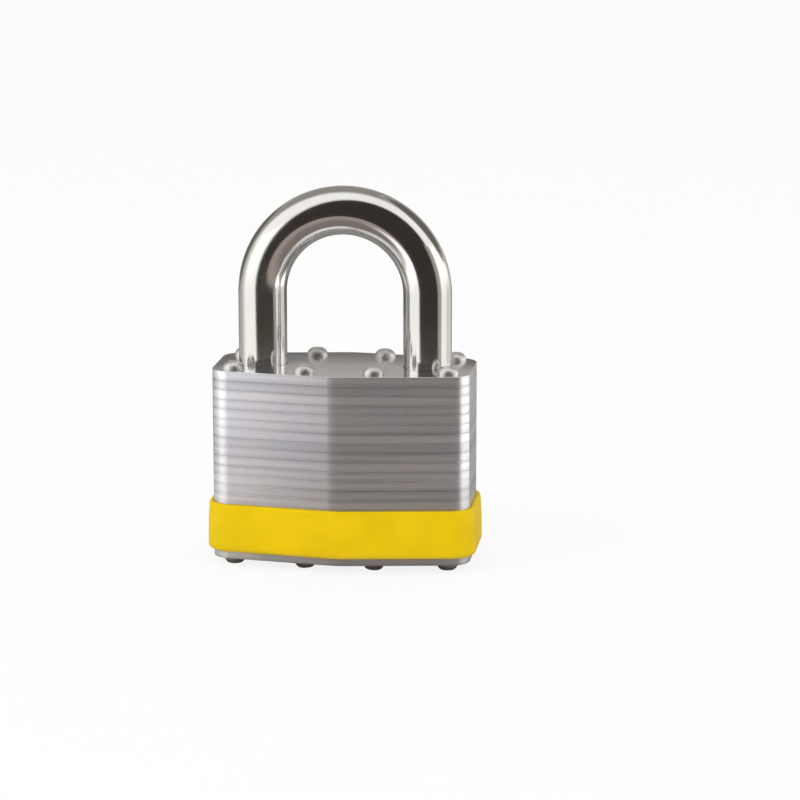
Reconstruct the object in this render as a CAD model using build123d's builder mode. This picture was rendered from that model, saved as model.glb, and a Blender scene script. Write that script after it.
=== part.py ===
from build123d import *
import math
import os

# A laminated steel padlock, closed and unlocked, standing on its rivet heads.
# X runs across its width, -Y is its front and Z is up. Lengths are in millimetres, angles in degrees.
os.makedirs("parts", exist_ok=True)

# Case plates
CASE_WIDTH = 50.8
RIDGE_DEPTH = 25.4
FACET_SLOPE = 8.2
CORNER_RADIUS = 4.0
RIDGE_RADIUS = 12.0
PLATE = 1.88
EDGE_ROUND = 0.16
EDGE_BREAK = 0.08

# Plates by what is punched in them, counted from 1 at the bottom
BOTTOM_LAYER = 1
CYLINDER_LAYERS = range(2, 11)
CAM_LAYERS = range(11, 13)
FOOT_LAYER = 13
PIVOT_LAYER = 14
LEVER_LAYERS = range(15, 20)
TOP_LAYER = 20
HEEL_CHAMBER_LAYERS = range(3, 16)
HEEL_GUIDE_LAYERS = range(16, 21)
TOE_BORE_LAYERS = range(15, 21)

# Rivets
RIVET_RADIUS = 1.5
RIVET_HEAD_RADIUS = 2.1
RIVET_CROWN_RADIUS = 1.1
RIVET_HEAD = 1.5
RIVET_PLAY = 0.05
INNER_RIVET = (6.8, 8.6)
OUTER_RIVET = (21.1, 6.9)

# Bumper
BUMPER_FLOOR = 3.05
BUMPER_TOP = 12.55
BUMPER_LIP = 0.9
BUMPER_FLARE = 1.2
BUMPER_FIT = 0.03
BUMPER_TOP_ROUND = 0.45
BUMPER_FOOT_ROUND = 0.7

# Shackle
ROD_RADIUS = 4.76
LEG_X = 16.3
CLEARANCE = 25.9
LIFT = 12.5
BORE_PLAY = 0.1
CHAMBER_RADIUS = 5.9
TOE_GAP = 0.5
TOE_CHAMFER = 1.4
HEEL_TIP = 15.0
HEEL_CHAMFER = 0.5
NOTCH_FLOOR = 31.2
NOTCH_TOP = 35.5
NOTCH_FACE = 13.45
HEEL_NECK_RADIUS = 2.9

# Snap ring on the heel
RING_RADIUS = 5.7
RING_THICKNESS = 1.2
RING_SEAT_RADIUS = 4.05
RING_MOUTH = 70
RING_PLAY = 0.05

# Locking levers, drawn about their pivot with the nose out
PIVOT_X = 8.3
PIN_RADIUS = 0.85
PIN_LENGTH = 10.2
PIN_PLAY = 0.05
LEVER_THICKNESS = 5.4
SLOT_WIDTH = 5.8
LEVER_SWING = 22
BOSS_RADIUS = 2.0
NOSE_REACH = 4.9
NOSE_FLOOR = 4.6
LEVER_TOP = 7.5
LEVER_CHAMFER = 0.6
NOSE_ROOT_ROUND = 0.8
FOOT_RADIUS = 1.0
FOOT_X = -1.9
FOOT_Z = -3.975
FOOT_SLOT_END = 10.8
NOSE_SLOT_END = 13.7

# Cylinder
SHELL_RADIUS = 7.2
SHELL_PLAY = 0.1
PIN_HOUSING_END = 14.3
PIN_HOUSING_WIDTH = 6.0
COVER = 1.0
PLUG_RADIUS = 5.5
PLUG_PLAY = 0.05
FACE_RADIUS = 5.0
FACE_PLAY = 0.1
FACE_RECESS = 0.2
NECK_RADIUS = 4.2
NECK_HEIGHT = 1.35
TANG = 5.0
TANG_PLAY = 0.02
CLIP_RADIUS = 6.4
CLIP_THICKNESS = 0.6
CLIP_MOUTH = 60
CAM_LONG = 6.65
CAM_SHORT = 5.1
CAM_THICKNESS = 1.65

# Keyway
KEYWAY_WIDTH = 2.1
KEYWAY_BOTTOM = -4.4
KEYWAY_TOP = 3.0
KEYWAY_END = 19.6
WARD_DEPTH = 0.55
WARD_HEIGHT = 1.1
LEFT_WARD_Y = -2.3
RIGHT_WARD_Y = -0.3

# Pins and their springs
KEY_PIN_LENGTHS = (3.9, 3.2, 3.6, 2.9)
FIRST_PIN_Z = 6.3
PIN_PITCH = 3.9
TUMBLER_RADIUS = 1.45
TUMBLER_PLAY = 0.05
KEY_PIN_OUTER_END = 5.3
KEY_PIN_SEAT = 1.2
KEY_PIN_TIP_RADIUS = 0.5
KEY_PIN_TIP = 0.9
DRIVER_INNER_END = 5.62
DRIVER_LENGTH = 4.1
TUMBLER_CHAMFER = 0.2

# Spring wires, winding radii and turns
SHACKLE_SPRING_WIRE = 1.0
SHACKLE_SPRING_RADIUS = 3.7
SHACKLE_SPRING_TURNS = 5
LEVER_SPRING_WIRE = 0.45
LEVER_SPRING_RADIUS = 1.5
LEVER_SPRING_TURNS = 5
LEVER_SPRING_Z = 30.4
LEVER_SPRING_LENGTH = 7.6
PIN_SPRING_WIRE = 0.35
PIN_SPRING_RADIUS = 1.15
PIN_SPRING_TURNS = 5


def layer_floor(layer):
    """Height of a plate's underside."""
    return RIVET_HEAD + (layer - 1) * PLATE


# Heights and sizes that follow from the driving dimensions
CASE_TOP = layer_floor(TOP_LAYER + 1)
TOTAL_RIVET_LENGTH = CASE_TOP + RIVET_HEAD
BORE_RADIUS = ROD_RADIUS + BORE_PLAY
BOW_BASE = CASE_TOP + CLEARANCE - (LEG_X - ROD_RADIUS)
TOE_TIP = layer_floor(TOE_BORE_LAYERS[0]) + TOE_GAP
CHAMBER_FLOOR = layer_floor(HEEL_CHAMBER_LAYERS[0])
RING_TOP = layer_floor(HEEL_GUIDE_LAYERS[0]) - LIFT - RING_PLAY
RING_FLOOR = RING_TOP - RING_THICKNESS
PIVOT_Z = layer_floor(PIVOT_LAYER) + PLATE / 2
SHELL_FLOOR = layer_floor(CYLINDER_LAYERS[0])
SHELL_TOP = layer_floor(CAM_LAYERS[0])
SHELL_HEIGHT = SHELL_TOP - SHELL_FLOOR
CAM_FLOOR = SHELL_TOP + NECK_HEIGHT
FACE_FLOOR = RIVET_HEAD + FACE_RECESS
CHAMBER_BORE = TUMBLER_RADIUS + TUMBLER_PLAY
DRIVER_OUTER_END = DRIVER_INNER_END + DRIVER_LENGTH
PIN_HEIGHTS = [FIRST_PIN_Z + PIN_PITCH * row for row in range(len(KEY_PIN_LENGTHS))]
RIVET_PLACES = [
    (side * x, face * y) for x, y in (INNER_RIVET, OUTER_RIVET) for side in (-1, 1) for face in (-1, 1)
]


def case_outline(margin=0.0):
    """Plate outline: sloping facets that meet at soft ridges, with round corners, grown by a margin."""
    half_width = CASE_WIDTH / 2
    ridge = RIDGE_DEPTH / 2
    shoulder = ridge - half_width * math.tan(math.radians(FACET_SLOPE))
    with BuildSketch() as outline:
        with BuildLine():
            Polyline(
                (0, -ridge),
                (half_width, -shoulder),
                (half_width, shoulder),
                (0, ridge),
                (-half_width, shoulder),
                (-half_width, -shoulder),
                close=True,
            )
        make_face()
        fillet(outline.vertices().group_by(Axis.X)[1], RIDGE_RADIUS)
        fillet(outline.vertices().group_by(Axis.X)[0], CORNER_RADIUS)
        fillet(outline.vertices().group_by(Axis.X)[-1], CORNER_RADIUS)
        if margin:
            offset(amount=margin)
    return outline.sketch


def punched(layer):
    """Everything that is punched out of one plate."""
    with BuildSketch() as holes:
        with Locations(*RIVET_PLACES):
            Circle(RIVET_RADIUS + RIVET_PLAY)
        with Locations((-LEG_X, 0)):
            if layer in HEEL_CHAMBER_LAYERS:
                Circle(CHAMBER_RADIUS)
            if layer in HEEL_GUIDE_LAYERS:
                Circle(BORE_RADIUS)
        if layer in TOE_BORE_LAYERS:
            with Locations((LEG_X, 0)):
                Circle(BORE_RADIUS)
        if layer == BOTTOM_LAYER:
            Circle(FACE_RADIUS + FACE_PLAY)
        if layer in CYLINDER_LAYERS:
            housing_end = PIN_HOUSING_END + COVER + SHELL_PLAY
            Circle(SHELL_RADIUS + SHELL_PLAY)
            with Locations((housing_end / 2, 0)):
                Rectangle(housing_end, PIN_HOUSING_WIDTH + 2 * SHELL_PLAY)
        if layer in CAM_LAYERS:
            Circle(SHELL_RADIUS + SHELL_PLAY)
        if layer in CAM_LAYERS or layer in (FOOT_LAYER, PIVOT_LAYER):
            Rectangle(2 * FOOT_SLOT_END, SLOT_WIDTH)
        if layer == PIVOT_LAYER:
            with Locations((-PIVOT_X, 0), (PIVOT_X, 0)):
                Rectangle(PLATE, PIN_LENGTH + 2 * PIN_PLAY)
        if layer in LEVER_LAYERS:
            Rectangle(2 * NOSE_SLOT_END, SLOT_WIDTH)
    return holes.sketch


def plate_name(layer):
    """Name of a plate, by its place in the stack."""
    if layer in CYLINDER_LAYERS:
        return f"cylinder_plate_{layer - CYLINDER_LAYERS[0] + 1:02d}"
    if layer in CAM_LAYERS:
        return f"cam_plate_{layer - CAM_LAYERS[0] + 1}"
    if layer in LEVER_LAYERS:
        return f"lever_plate_{layer - LEVER_LAYERS[0] + 1}"
    single_plates = {
        BOTTOM_LAYER: "bottom_plate",
        FOOT_LAYER: "lever_foot_plate",
        PIVOT_LAYER: "lever_pivot_plate",
        TOP_LAYER: "top_plate",
    }
    return single_plates[layer]


def snap_ring(floor, thickness, inner_radius, outer_radius, mouth):
    """Open ring about the Z axis whose mouth faces +X."""
    with BuildPart() as ring:
        with BuildSketch(Plane.XY.offset(floor)):
            Circle(outer_radius)
            Circle(inner_radius, mode=Mode.SUBTRACT)
            with BuildLine():
                reach = 2 * outer_radius
                half_mouth = math.radians(mouth / 2)
                corner = (reach * math.cos(half_mouth), reach * math.sin(half_mouth))
                Polyline((0, 0), corner, (corner[0], -corner[1]), close=True)
            make_face(mode=Mode.SUBTRACT)
        extrude(amount=thickness)
    return ring.part


def helix_point(seat, radius, pitch, angle):
    """Point of a helix that starts on a seat plane and climbs along its normal."""
    return seat.from_local_coords(Vector(radius, 0, pitch * angle / 360).rotate(Axis.Z, angle))


def helix_direction(seat, radius, pitch, angle):
    """Unit tangent of the same helix."""
    ahead = Vector(0, 2 * math.pi * radius, pitch).normalized().rotate(Axis.Z, angle)
    return seat.from_local_coords(ahead) - seat.origin


def arc_reach(chord, start_way, end_way):
    """Tangent length at which two arcs of equal tangents join the ends of a chord."""
    ways = start_way + end_way
    square = 4 - ways.dot(ways)
    along = chord.dot(ways)
    return (math.sqrt(along * along + square * chord.dot(chord)) - along) / square


def least_gap(seat, radius, pitch, turns, wire):
    """Smallest free space between neighbouring turns, measured on points of the wire's centre line."""
    samples = 36
    points = [helix_point(seat, radius, pitch, 360 * i / samples) for i in range(turns * samples + 1)]
    half_turn = samples // 2
    gaps = [
        (points[far] - points[near]).length
        for near in range(len(points))
        for far in range(near + half_turn, len(points))
    ]
    return min(gaps) - wire


def wound_spring(seat, radius, wire, length, turns):
    """Compression spring on a seat plane: one tube along two tangent arcs for each quarter turn."""
    seat = seat.offset(wire / 2)
    pitch = (length - wire) / turns
    quarter = 90
    with BuildPart() as spring:
        with BuildLine():
            for step in range(4 * turns):
                start = helix_point(seat, radius, pitch, quarter * step)
                end = helix_point(seat, radius, pitch, quarter * (step + 1))
                start_way = helix_direction(seat, radius, pitch, quarter * step)
                end_way = helix_direction(seat, radius, pitch, quarter * (step + 1))
                reach = arc_reach(end - start, start_way, end_way)
                first_control = start + start_way * reach
                last_control = end - end_way * reach
                joint = (first_control + last_control) * 0.5
                TangentArc(start, joint, tangent=start_way)
                TangentArc(joint, end, tangent=last_control - first_control)
        wire_end = Plane(
            origin=helix_point(seat, radius, pitch, 0),
            z_dir=helix_direction(seat, radius, pitch, 0),
        )
        with BuildSketch(wire_end):
            Circle(wire / 2)
        sweep()
    print(f"least gap between turns {least_gap(seat, radius, pitch, turns, wire):.2f} mm")
    return spring.part


# Case plates, one node each
outline = case_outline()
for layer in range(BOTTOM_LAYER, TOP_LAYER + 1):
    holes = punched(layer)
    with BuildPart() as plate:
        with BuildSketch(Plane.XY.offset(layer_floor(layer))):
            add(outline)
            add(holes, mode=Mode.SUBTRACT)
        extrude(amount=PLATE)
        fillet(plate.faces().sort_by(Axis.Z)[-1].outer_wire().edges(), EDGE_ROUND)
        chamfer(plate.faces().sort_by(Axis.Z)[0].outer_wire().edges(), EDGE_BREAK)
    plate.part.label = plate_name(layer)
    export_step(plate.part, f"parts/{plate_name(layer)}.step")

# Rivets: domed heads with flattened crowns at both ends
with BuildPart() as rivet:
    middle = TOTAL_RIVET_LENGTH / 2
    with BuildSketch(Plane.XZ):
        with BuildLine():
            Line((0, 0), (RIVET_CROWN_RADIUS, 0))
            TangentArc((RIVET_HEAD_RADIUS, RIVET_HEAD), (RIVET_CROWN_RADIUS, 0), tangent=(0, -1))
            Polyline(
                (RIVET_HEAD_RADIUS, RIVET_HEAD),
                (RIVET_RADIUS, RIVET_HEAD),
                (RIVET_RADIUS, middle),
                (0, middle),
                (0, 0),
            )
        make_face()
    revolve(axis=Axis.Z)
    mirror(about=Plane.XY.offset(middle))

with BuildPart() as case_rivets:
    with Locations(*RIVET_PLACES):
        add(rivet.part)
case_rivets.part.label = "case_rivets"
export_step(case_rivets.part, "parts/case_rivets.step")

# Bumper: a band that flares towards its foot
bumper_foot = case_outline(BUMPER_FLARE)
bumper_lip = case_outline(BUMPER_LIP)
bumper_hollow = case_outline(BUMPER_FIT)
with BuildPart() as bumper:
    with BuildSketch(Plane.XY.offset(BUMPER_FLOOR)):
        add(bumper_foot)
    with BuildSketch(Plane.XY.offset(BUMPER_TOP)):
        add(bumper_lip)
    loft(ruled=True)
    fillet(bumper.faces().sort_by(Axis.Z)[-1].outer_wire().edges(), BUMPER_TOP_ROUND)
    fillet(bumper.faces().sort_by(Axis.Z)[0].outer_wire().edges(), BUMPER_FOOT_ROUND)
    with BuildSketch(Plane.XY.offset(BUMPER_FLOOR)):
        add(bumper_hollow)
    extrude(amount=BUMPER_TOP - BUMPER_FLOOR, mode=Mode.SUBTRACT)
bumper.part.label = "bumper"
export_step(bumper.part, "parts/bumper.step")

# Shackle: round rod with a notch inside each leg, a neck on the heel and a seat for the snap ring
with BuildPart() as shackle:
    with BuildLine(Plane.XZ):
        Line((-LEG_X, HEEL_TIP), (-LEG_X, BOW_BASE))
        ThreePointArc((-LEG_X, BOW_BASE), (0, BOW_BASE + LEG_X), (LEG_X, BOW_BASE))
        Line((LEG_X, BOW_BASE), (LEG_X, TOE_TIP))
    with BuildSketch(Plane.XY.offset(HEEL_TIP)):
        with Locations((-LEG_X, 0)):
            Circle(ROD_RADIUS)
    sweep()
    leg_ends = shackle.faces().filter_by(Axis.Z).sort_by(Axis.Z)
    chamfer(leg_ends[0].edges(), HEEL_CHAMFER)
    chamfer(leg_ends[-1].edges(), TOE_CHAMFER)
    notch_depth = NOTCH_FACE - (LEG_X - BORE_RADIUS)
    notch_height = NOTCH_TOP - NOTCH_FLOOR
    for side in (-1, 1):
        with Locations((side * (NOTCH_FACE - notch_depth / 2), 0, (NOTCH_FLOOR + NOTCH_TOP) / 2)):
            Box(notch_depth, 2 * ROD_RADIUS, notch_height, mode=Mode.SUBTRACT)
    heel_axis = Axis((-LEG_X, 0, 0), (0, 0, 1))
    with BuildSketch(Plane.XZ):
        with Locations((-LEG_X + HEEL_NECK_RADIUS, NOTCH_FLOOR - LIFT)):
            Rectangle(ROD_RADIUS, notch_height, align=(Align.MIN, Align.MIN))
        with Locations((-LEG_X + RING_SEAT_RADIUS, RING_FLOOR - RING_PLAY)):
            Rectangle(ROD_RADIUS, RING_THICKNESS + 2 * RING_PLAY, align=(Align.MIN, Align.MIN))
    revolve(axis=heel_axis, mode=Mode.SUBTRACT)
shackle.part.label = "shackle"
export_step(shackle.part, "parts/shackle.step")

# Snap ring on the heel, which meets the guide plates when the shackle is up
heel_ring = snap_ring(RING_FLOOR, RING_THICKNESS, RING_SEAT_RADIUS + RING_PLAY, RING_RADIUS, RING_MOUTH)
with BuildPart() as shackle_stop_ring:
    with Locations((-LEG_X, 0, 0)):
        add(heel_ring)
shackle_stop_ring.part.label = "shackle_stop_ring"
export_step(shackle_stop_ring.part, "parts/shackle_stop_ring.step")

# Shackle spring under the heel
heel_spring = wound_spring(
    Plane((-LEG_X, 0, CHAMBER_FLOOR)),
    SHACKLE_SPRING_RADIUS,
    SHACKLE_SPRING_WIRE,
    HEEL_TIP - CHAMBER_FLOOR,
    SHACKLE_SPRING_TURNS,
)
heel_spring.label = "shackle_spring"
export_step(heel_spring, "parts/shackle_spring.step")

# Locking levers, turned back so that both noses are out of the shackle's notches
swing = math.radians(LEVER_SWING)
lever_plane = Plane(
    origin=(PIVOT_X, 0, PIVOT_Z),
    x_dir=(math.cos(swing), 0, math.sin(swing)),
    z_dir=(0, -1, 0),
)
with BuildPart() as toe_lever:
    with BuildSketch(lever_plane) as lever_side:
        Circle(BOSS_RADIUS)
        with Locations((FOOT_X, FOOT_Z)):
            Circle(FOOT_RADIUS)
        make_hull()
        with BuildLine():
            Polyline(
                (-BOSS_RADIUS, 0),
                (-BOSS_RADIUS, LEVER_TOP - LEVER_CHAMFER),
                (-BOSS_RADIUS + LEVER_CHAMFER, LEVER_TOP),
                (NOSE_REACH - LEVER_CHAMFER, LEVER_TOP),
                (NOSE_REACH, LEVER_TOP - LEVER_CHAMFER),
                (NOSE_REACH, NOSE_FLOOR),
                (BOSS_RADIUS, NOSE_FLOOR),
                (BOSS_RADIUS, 0),
                close=True,
            )
        make_face()
        nose_root = lever_side.vertices().sort_by_distance((BOSS_RADIUS, NOSE_FLOOR))[0]
        fillet(nose_root, NOSE_ROOT_ROUND)
        Circle(PIN_RADIUS + PIN_PLAY, mode=Mode.SUBTRACT)
    extrude(amount=LEVER_THICKNESS / 2, both=True)
toe_lever.part.label = "toe_lever"
export_step(toe_lever.part, "parts/toe_lever.step")

with BuildPart() as heel_lever:
    mirror(toe_lever.part, about=Plane.YZ)
heel_lever.part.label = "heel_lever"
export_step(heel_lever.part, "parts/heel_lever.step")

# Lever pins, whose ends lie in the pivot plate's pockets
for side, lever_name in ((-1, "heel"), (1, "toe")):
    with BuildPart() as lever_pin:
        with BuildSketch(Plane.XZ):
            with Locations((side * PIVOT_X, PIVOT_Z)):
                Circle(PIN_RADIUS)
        extrude(amount=PIN_LENGTH / 2, both=True)
    lever_pin.part.label = f"{lever_name}_lever_pin"
    export_step(lever_pin.part, f"parts/{lever_name}_lever_pin.step")

# Lever spring, which pushes the levers' upper arms apart
arm_spring = wound_spring(
    Plane(origin=(-LEVER_SPRING_LENGTH / 2, 0, LEVER_SPRING_Z), z_dir=(1, 0, 0)),
    LEVER_SPRING_RADIUS,
    LEVER_SPRING_WIRE,
    LEVER_SPRING_LENGTH,
    LEVER_SPRING_TURNS,
)
arm_spring.label = "lever_spring"
export_step(arm_spring, "parts/lever_spring.step")

# Cylinder shell: a round housing with the pin chambers along +X
with BuildPart() as cylinder_shell:
    with BuildSketch(Plane.XY.offset(SHELL_FLOOR)):
        Circle(SHELL_RADIUS)
        with Locations((PIN_HOUSING_END / 2, 0)):
            Rectangle(PIN_HOUSING_END, PIN_HOUSING_WIDTH)
        Circle(PLUG_RADIUS + PLUG_PLAY, mode=Mode.SUBTRACT)
    extrude(amount=SHELL_HEIGHT)
    with BuildSketch(Plane.YZ):
        with Locations(*[(0, height) for height in PIN_HEIGHTS]):
            Circle(CHAMBER_BORE)
    extrude(amount=PIN_HOUSING_END, mode=Mode.SUBTRACT)
cylinder_shell.part.label = "cylinder_shell"
export_step(cylinder_shell.part, "parts/cylinder_shell.step")

# Strip that closes the pin chambers
with BuildPart() as pin_chamber_cover:
    with BuildSketch(Plane.YZ.offset(PIN_HOUSING_END)):
        with Locations((0, (SHELL_FLOOR + SHELL_TOP) / 2)):
            Rectangle(PIN_HOUSING_WIDTH, SHELL_HEIGHT)
    extrude(amount=COVER)
pin_chamber_cover.part.label = "pin_chamber_cover"
export_step(pin_chamber_cover.part, "parts/pin_chamber_cover.step")

# Plug: face, body, neck and square tang, with a warded keyway and a chamber for each key pin
with BuildPart() as cylinder_plug:
    with BuildSketch(Plane.XY.offset(FACE_FLOOR)):
        Circle(FACE_RADIUS)
    extrude(amount=SHELL_FLOOR - FACE_FLOOR)
    with BuildSketch(Plane.XY.offset(SHELL_FLOOR)):
        Circle(PLUG_RADIUS)
    extrude(amount=SHELL_HEIGHT)
    with BuildSketch(Plane.XY.offset(SHELL_TOP)):
        Circle(NECK_RADIUS)
    extrude(amount=NECK_HEIGHT)
    with BuildSketch(Plane.XY.offset(CAM_FLOOR)):
        Rectangle(TANG, TANG)
    extrude(amount=CAM_THICKNESS)
    with BuildSketch(Plane.XY.offset(FACE_FLOOR)):
        with Locations((0, (KEYWAY_BOTTOM + KEYWAY_TOP) / 2)):
            Rectangle(KEYWAY_WIDTH, KEYWAY_TOP - KEYWAY_BOTTOM)
        with Locations((-KEYWAY_WIDTH / 2, LEFT_WARD_Y), (KEYWAY_WIDTH / 2, RIGHT_WARD_Y)):
            Rectangle(2 * WARD_DEPTH, WARD_HEIGHT, mode=Mode.SUBTRACT)
    extrude(amount=KEYWAY_END - FACE_FLOOR, mode=Mode.SUBTRACT)
    with BuildSketch(Plane.XZ.offset(-KEY_PIN_SEAT)):
        with Locations(*[(0, height) for height in PIN_HEIGHTS]):
            Circle(CHAMBER_BORE)
    extrude(amount=-PLUG_RADIUS, mode=Mode.SUBTRACT)
cylinder_plug.part.label = "cylinder_plug"
export_step(cylinder_plug.part, "parts/cylinder_plug.step")

# Oval cam on the plug's tang
with BuildPart() as plug_cam:
    with BuildSketch(Plane.XY.offset(CAM_FLOOR)):
        Ellipse(CAM_LONG, CAM_SHORT)
        Rectangle(TANG + 2 * TANG_PLAY, TANG + 2 * TANG_PLAY, mode=Mode.SUBTRACT)
    extrude(amount=CAM_THICKNESS)
plug_cam.part.label = "plug_cam"
export_step(plug_cam.part, "parts/plug_cam.step")

# Snap ring round the plug's neck
neck_ring = snap_ring(SHELL_TOP + PLUG_PLAY, CLIP_THICKNESS, NECK_RADIUS + PLUG_PLAY, CLIP_RADIUS, CLIP_MOUTH)
with BuildPart() as plug_clip:
    add(neck_ring)
plug_clip.part.label = "plug_clip"
export_step(plug_clip.part, "parts/plug_clip.step")

# Key pins in the plug, driver pins and springs in the shell
for row, height in enumerate(PIN_HEIGHTS):
    tip = KEY_PIN_OUTER_END - KEY_PIN_LENGTHS[row]
    with BuildPart() as key_pin:
        with BuildSketch(Plane.XY.offset(height)):
            with BuildLine():
                Polyline(
                    (0, tip),
                    (KEY_PIN_TIP_RADIUS, tip),
                    (TUMBLER_RADIUS, tip + KEY_PIN_TIP),
                    (TUMBLER_RADIUS, KEY_PIN_OUTER_END - TUMBLER_CHAMFER),
                    (TUMBLER_RADIUS - TUMBLER_CHAMFER, KEY_PIN_OUTER_END),
                    (0, KEY_PIN_OUTER_END),
                    close=True,
                )
            make_face()
        revolve(axis=Axis((0, 0, height), (0, 1, 0)))
    key_pin.part.label = f"key_pin_{row + 1}"
    export_step(key_pin.part, f"parts/key_pin_{row + 1}.step")

    with BuildPart() as driver_pin:
        with BuildSketch(Plane.YZ.offset(DRIVER_INNER_END)):
            with Locations((0, height)):
                Circle(TUMBLER_RADIUS)
        extrude(amount=DRIVER_LENGTH)
        chamfer(driver_pin.edges().filter_by(GeomType.CIRCLE), TUMBLER_CHAMFER)
    driver_pin.part.label = f"driver_pin_{row + 1}"
    export_step(driver_pin.part, f"parts/driver_pin_{row + 1}.step")

    pin_spring = wound_spring(
        Plane(origin=(DRIVER_OUTER_END, 0, height), z_dir=(1, 0, 0)),
        PIN_SPRING_RADIUS,
        PIN_SPRING_WIRE,
        PIN_HOUSING_END - DRIVER_OUTER_END,
        PIN_SPRING_TURNS,
    )
    pin_spring.label = f"pin_spring_{row + 1}"
    export_step(pin_spring, f"parts/pin_spring_{row + 1}.step")
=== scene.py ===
"""Laminated padlock, closed and standing: its finishes, its bumper and springs, the studio and the camera."""

import logging
import math
from dataclasses import dataclass
from enum import Enum

import bmesh
import bpy
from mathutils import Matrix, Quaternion, Vector


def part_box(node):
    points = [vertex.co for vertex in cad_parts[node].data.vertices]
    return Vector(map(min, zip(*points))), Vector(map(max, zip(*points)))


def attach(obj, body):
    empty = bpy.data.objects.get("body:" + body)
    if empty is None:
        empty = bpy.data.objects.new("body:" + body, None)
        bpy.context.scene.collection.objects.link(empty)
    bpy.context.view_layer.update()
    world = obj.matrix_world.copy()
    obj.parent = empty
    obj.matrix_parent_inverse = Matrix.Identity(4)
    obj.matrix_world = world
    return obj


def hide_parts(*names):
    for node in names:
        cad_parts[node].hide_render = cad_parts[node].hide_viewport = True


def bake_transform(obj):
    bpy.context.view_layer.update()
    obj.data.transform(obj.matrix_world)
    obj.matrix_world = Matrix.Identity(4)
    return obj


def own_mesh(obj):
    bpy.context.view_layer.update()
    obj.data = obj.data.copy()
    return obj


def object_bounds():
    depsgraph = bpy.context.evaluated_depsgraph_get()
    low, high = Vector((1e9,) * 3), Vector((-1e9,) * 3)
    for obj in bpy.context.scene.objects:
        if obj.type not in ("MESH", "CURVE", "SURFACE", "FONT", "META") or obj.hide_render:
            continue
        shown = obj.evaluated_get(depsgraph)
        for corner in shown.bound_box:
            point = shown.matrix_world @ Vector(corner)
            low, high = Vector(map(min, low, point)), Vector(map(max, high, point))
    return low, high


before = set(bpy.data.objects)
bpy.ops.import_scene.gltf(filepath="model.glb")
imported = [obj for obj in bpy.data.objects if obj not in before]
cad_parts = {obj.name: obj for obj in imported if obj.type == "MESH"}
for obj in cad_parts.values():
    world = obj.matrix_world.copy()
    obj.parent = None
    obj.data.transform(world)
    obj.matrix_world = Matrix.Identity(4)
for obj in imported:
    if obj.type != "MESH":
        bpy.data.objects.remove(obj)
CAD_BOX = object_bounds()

Socket = bpy.types.NodeSocket
Inputs = dict[str | int, object]
Pair = tuple[float, float]
Triple = tuple[float, float, float]

MM = 0.001
log = logging.getLogger("padlock")


class Slot(Enum):
    """Material slots of the record that the finishes stand for."""

    PLATES = "plate_steel"
    SHACKLE = "shackle_chrome"
    RIVETS = "rivet_steel"
    BUMPER = "bumper_vinyl"
    BRASS = "brass"
    HARDENED = "hard_steel"
    WIRE = "spring_steel"


class Grain(Enum):
    """Which way the marks on a metal run."""

    TURNED = "rings about the upright axis"
    TUMBLED = "small dents all over"
    DRAWN = "fine lines along a wire"


@dataclass(frozen=True)
class Pattern:
    """Soft noise: its repeats for each metre along X, Y and Z, its finer layers and their strength."""

    repeats: Triple
    layers: float = 3.0
    strength: float = 0.5


@dataclass(frozen=True)
class Ramp:
    """A soft step: the two values that it lies between, and what it gives at each."""

    low: float
    high: float
    start: float
    end: float


def even(repeats: float) -> Triple:
    """Gives the same number of repeats along X, Y and Z."""
    return repeats, repeats, repeats


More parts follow.
